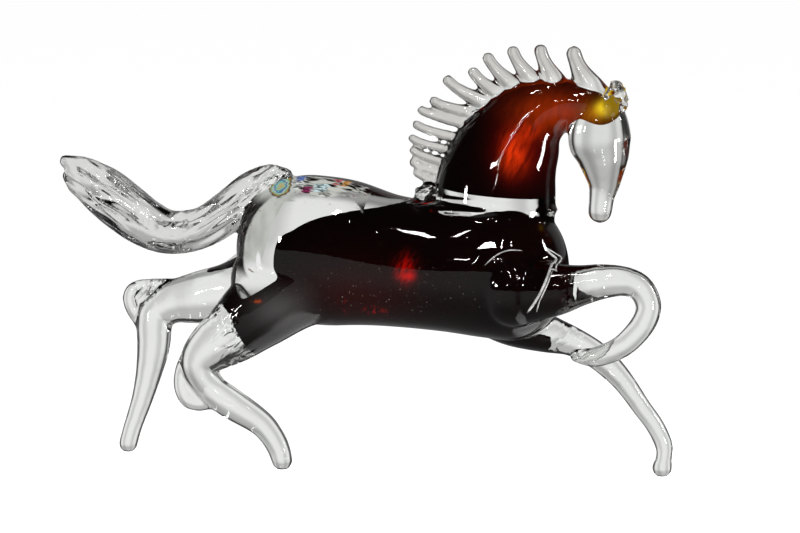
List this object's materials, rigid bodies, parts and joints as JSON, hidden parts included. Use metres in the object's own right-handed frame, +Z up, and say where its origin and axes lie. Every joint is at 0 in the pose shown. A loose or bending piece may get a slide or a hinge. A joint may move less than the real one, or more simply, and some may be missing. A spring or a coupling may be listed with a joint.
{
  "type": "glass horse figurine",
  "caption": "Galloping horse figurine in hot-worked glass with a raised foreleg, a mane of pulled strands, a twisted tail and a dark amber gather cased in clear glass.",
  "frame": {"origin": "centre of the bounding box in plan, at the height of the feet", "axes": "+X towards the head, +Y to the horse's left, +Z up"},
  "size_m": [0.4468, 0.0914, 0.3006],
  "materials": {
    "clear_glass": "fire-polished clear",
    "amber_core": "dark amber-red gather sealed in the casing"
  },
  "bodies": {
    "root": {"glass_horse": "clear_glass"}
  },
  "joints": []
}
